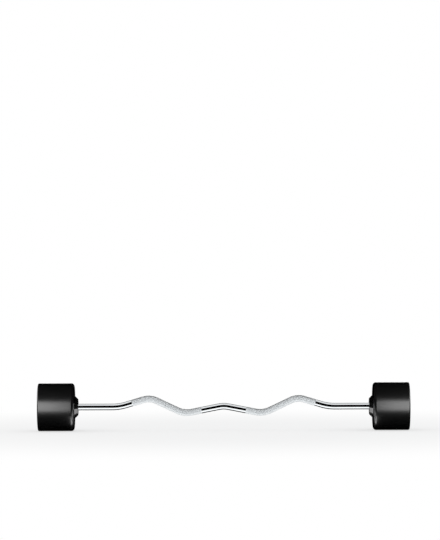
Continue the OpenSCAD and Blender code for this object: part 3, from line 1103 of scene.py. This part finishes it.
# %% [markdown]
# The tent could be one pale box, but then the chrome would look flat. So its walls, roof and foot are
# split where their brightness has to change, because sheets of one plain level are easier to tune than
# painted ones. A strip of the back wall is there for all the chrome, which would look black from behind
# without it.

# %% The tent
tent_x, tent_y, tent_z, tent_foot_z = 2.4, 1.6, 1.2, -1.2
wall_split_z, roof_split_y, foot_split_y = 0.7, -0.2, 0.3


def wall(name, y, z0, z1, glow, seen_by=grip_pieces):
    card(name, upright_sheet(-tent_x, y, tent_x, y, z0, z1), glow, seen_by)


def ceiling(name, y0, y1, z, glow, seen_by=grip_pieces):
    card(name, level_sheet(-tent_x, tent_x, y0, y1, z), glow, seen_by)


wall("front_wall", -tent_y, tent_foot_z, wall_split_z, glow=1.5)
wall("front_wall_top", -tent_y, wall_split_z, tent_z, glow=0.5)
wall("back_wall", tent_y, tent_foot_z, 0.0, glow=1.3)
wall("back_wall_middle", tent_y, 0.0, wall_split_z, glow=1.2, seen_by=chrome_pieces)
wall("back_wall_top", tent_y, wall_split_z, tent_z, glow=1.3)
for side, x in (("left", -tent_x), ("right", tent_x)):
    card(f"{side}_wall", upright_sheet(x, -tent_y, x, tent_y, tent_foot_z, tent_z), glow=0.0)
ceiling("tent_roof", -tent_y, roof_split_y, tent_z, glow=0.1)
ceiling("tent_roof_back", roof_split_y, tent_y, tent_z, glow=1.2)
ceiling("tent_foot", -tent_y, foot_split_y, tent_foot_z, glow=0.3)
ceiling("tent_foot_back", foot_split_y, tent_y, tent_foot_z, glow=1.0)
print("tent:", 2 * tent_x, "by", 2 * tent_y, "m")

# %% The panel over the bar and the tables under it
below_roof, below_floor = tent_z - 2 * MM, floor_z - 2 * MM
panel_y, table_y, back_table_y = (-0.92, 0.55), (-0.18, -0.014), (0.12, 0.25)
table_x, inner_table_x = 0.56, 0.50
table_glow = 1.2

ceiling("roof_panel", *panel_y, below_roof, glow=0.90, seen_by=smooth_pieces)
table = level_sheet(-inner_table_x, inner_table_x, *table_y, below_floor)
card("table", table, table_glow, chrome_and_rubber)
back_table = level_sheet(-table_x, table_x, *back_table_y, below_floor)
card("back_table", back_table, table_glow, chrome_pieces)
for side, x0, x1 in (("left", -table_x, -inner_table_x), ("right", inner_table_x, table_x)):
    card(f"{side}_table", level_sheet(x0, x1, *table_y, below_floor), table_glow, chrome_pieces)
print("table:", 2 * table_x, "m long")

# %% [markdown]
# Black rubber shows little but highlights, so each weight's lamps are placed for those. Bare lamps
# would make hard spots, so they are soft boxes. A tall one in front draws the broad band across the
# drum, a small one at the floor draws the thin line on its inner rim, and others light the collar's
# flats, the drum's end and its back. Their levels stay near plain daylight, so that a colour renders
# about as it is written.


# %% A soft box
def soft_box(name, sign, place, aim, size, radiance, lights):
    """A lamp that faces a point. Radiance is how white it looks, and sign is -1 for the left side."""
    width, height = size
    place, aim = (Vector((sign * x, y, z)) for x, y, z in (place, aim))
    data = bpy.data.lights.new(name, "AREA")
    data.shape = "RECTANGLE"
    data.size = width
    data.size_y = height
    data.energy = radiance * math.pi * width * height
    lamp = in_scene(name, data)
    lamp.location = place
    lamp.rotation_euler = (aim - place).to_track_quat("-Z", "Y").to_euler()
    lamp.visible_camera = False
    lamp.light_linking.receiver_collection = lights
    return lamp


# %% The lamps of each weight
low_z = floor_z + 4 * MM
LAMPS = {
    "front_box": dict(place=(1.15, -1.4, 0.13), aim=(1.15, 0.0, 0.13), size=(1.08, 1.2), radiance=2.7),
    "rim_box": dict(
        place=(0.552, -0.095, low_z), aim=(0.552, -0.095, 1.0), size=(0.035, 0.07), radiance=2.0,
    ),
    "collar_box": dict(place=(0.40, 0.0, low_z), aim=(0.40, 0.0, 1.0), size=(0.16, 0.2), radiance=2.0),
    "end_box": dict(place=(2.2, -0.3, 0.9), aim=(0.0, 0.0, 0.0), size=(1.6, 1.2), radiance=2.2),
    "back_box": dict(place=(1.15, 1.4, 0.2), aim=(1.15, 0.0, 0.1), size=(1.1, 0.5), radiance=1.2),
}
for side, sign in (("left", -1), ("right", 1)):
    for kind, box in LAMPS.items():
        lights = collars[side] if kind == "collar_box" else drums[side]
        lamp = soft_box(f"{side}_{kind}", sign, lights=lights, **box)
        if kind == "front_box":
            # It reaches below the floor, which would block it if it weren't told what may
            lamp.light_linking.blocker_collection = drums[side]
print("lamps:", 2 * len(LAMPS))

# %% [markdown]
# In a white room, light also comes from all around, and the world stands in for it. A sky texture could
# do that, but it would put a horizon into the chrome. So the world is plain. It is white where the
# camera or a reflection sees it, and a little less where it only lights, which keeps the shadows.

# %% The world
AMBIENT = 0.85
SEEN = ("Is Camera Ray", "Is Glossy Ray", "Is Transmission Ray")

world = bpy.data.worlds.new("studio")
world.use_nodes = True
world.node_tree.nodes.clear()
scene.world = world
graph = Graph(world.node_tree)
camera_ray, glossy_ray, clear_ray = graph.several("ShaderNodeLightPath", SEEN)
seen = camera_ray.most(glossy_ray).most(clear_ray)
strength = AMBIENT + seen * (1 - AMBIENT)
sky = graph.add("ShaderNodeBackground", None, {"Color": WHITE, "Strength": strength})
graph.add("ShaderNodeOutputWorld", None, {"Surface": sky})
print("world:", AMBIENT, "as a lamp, and 1 where it is seen")
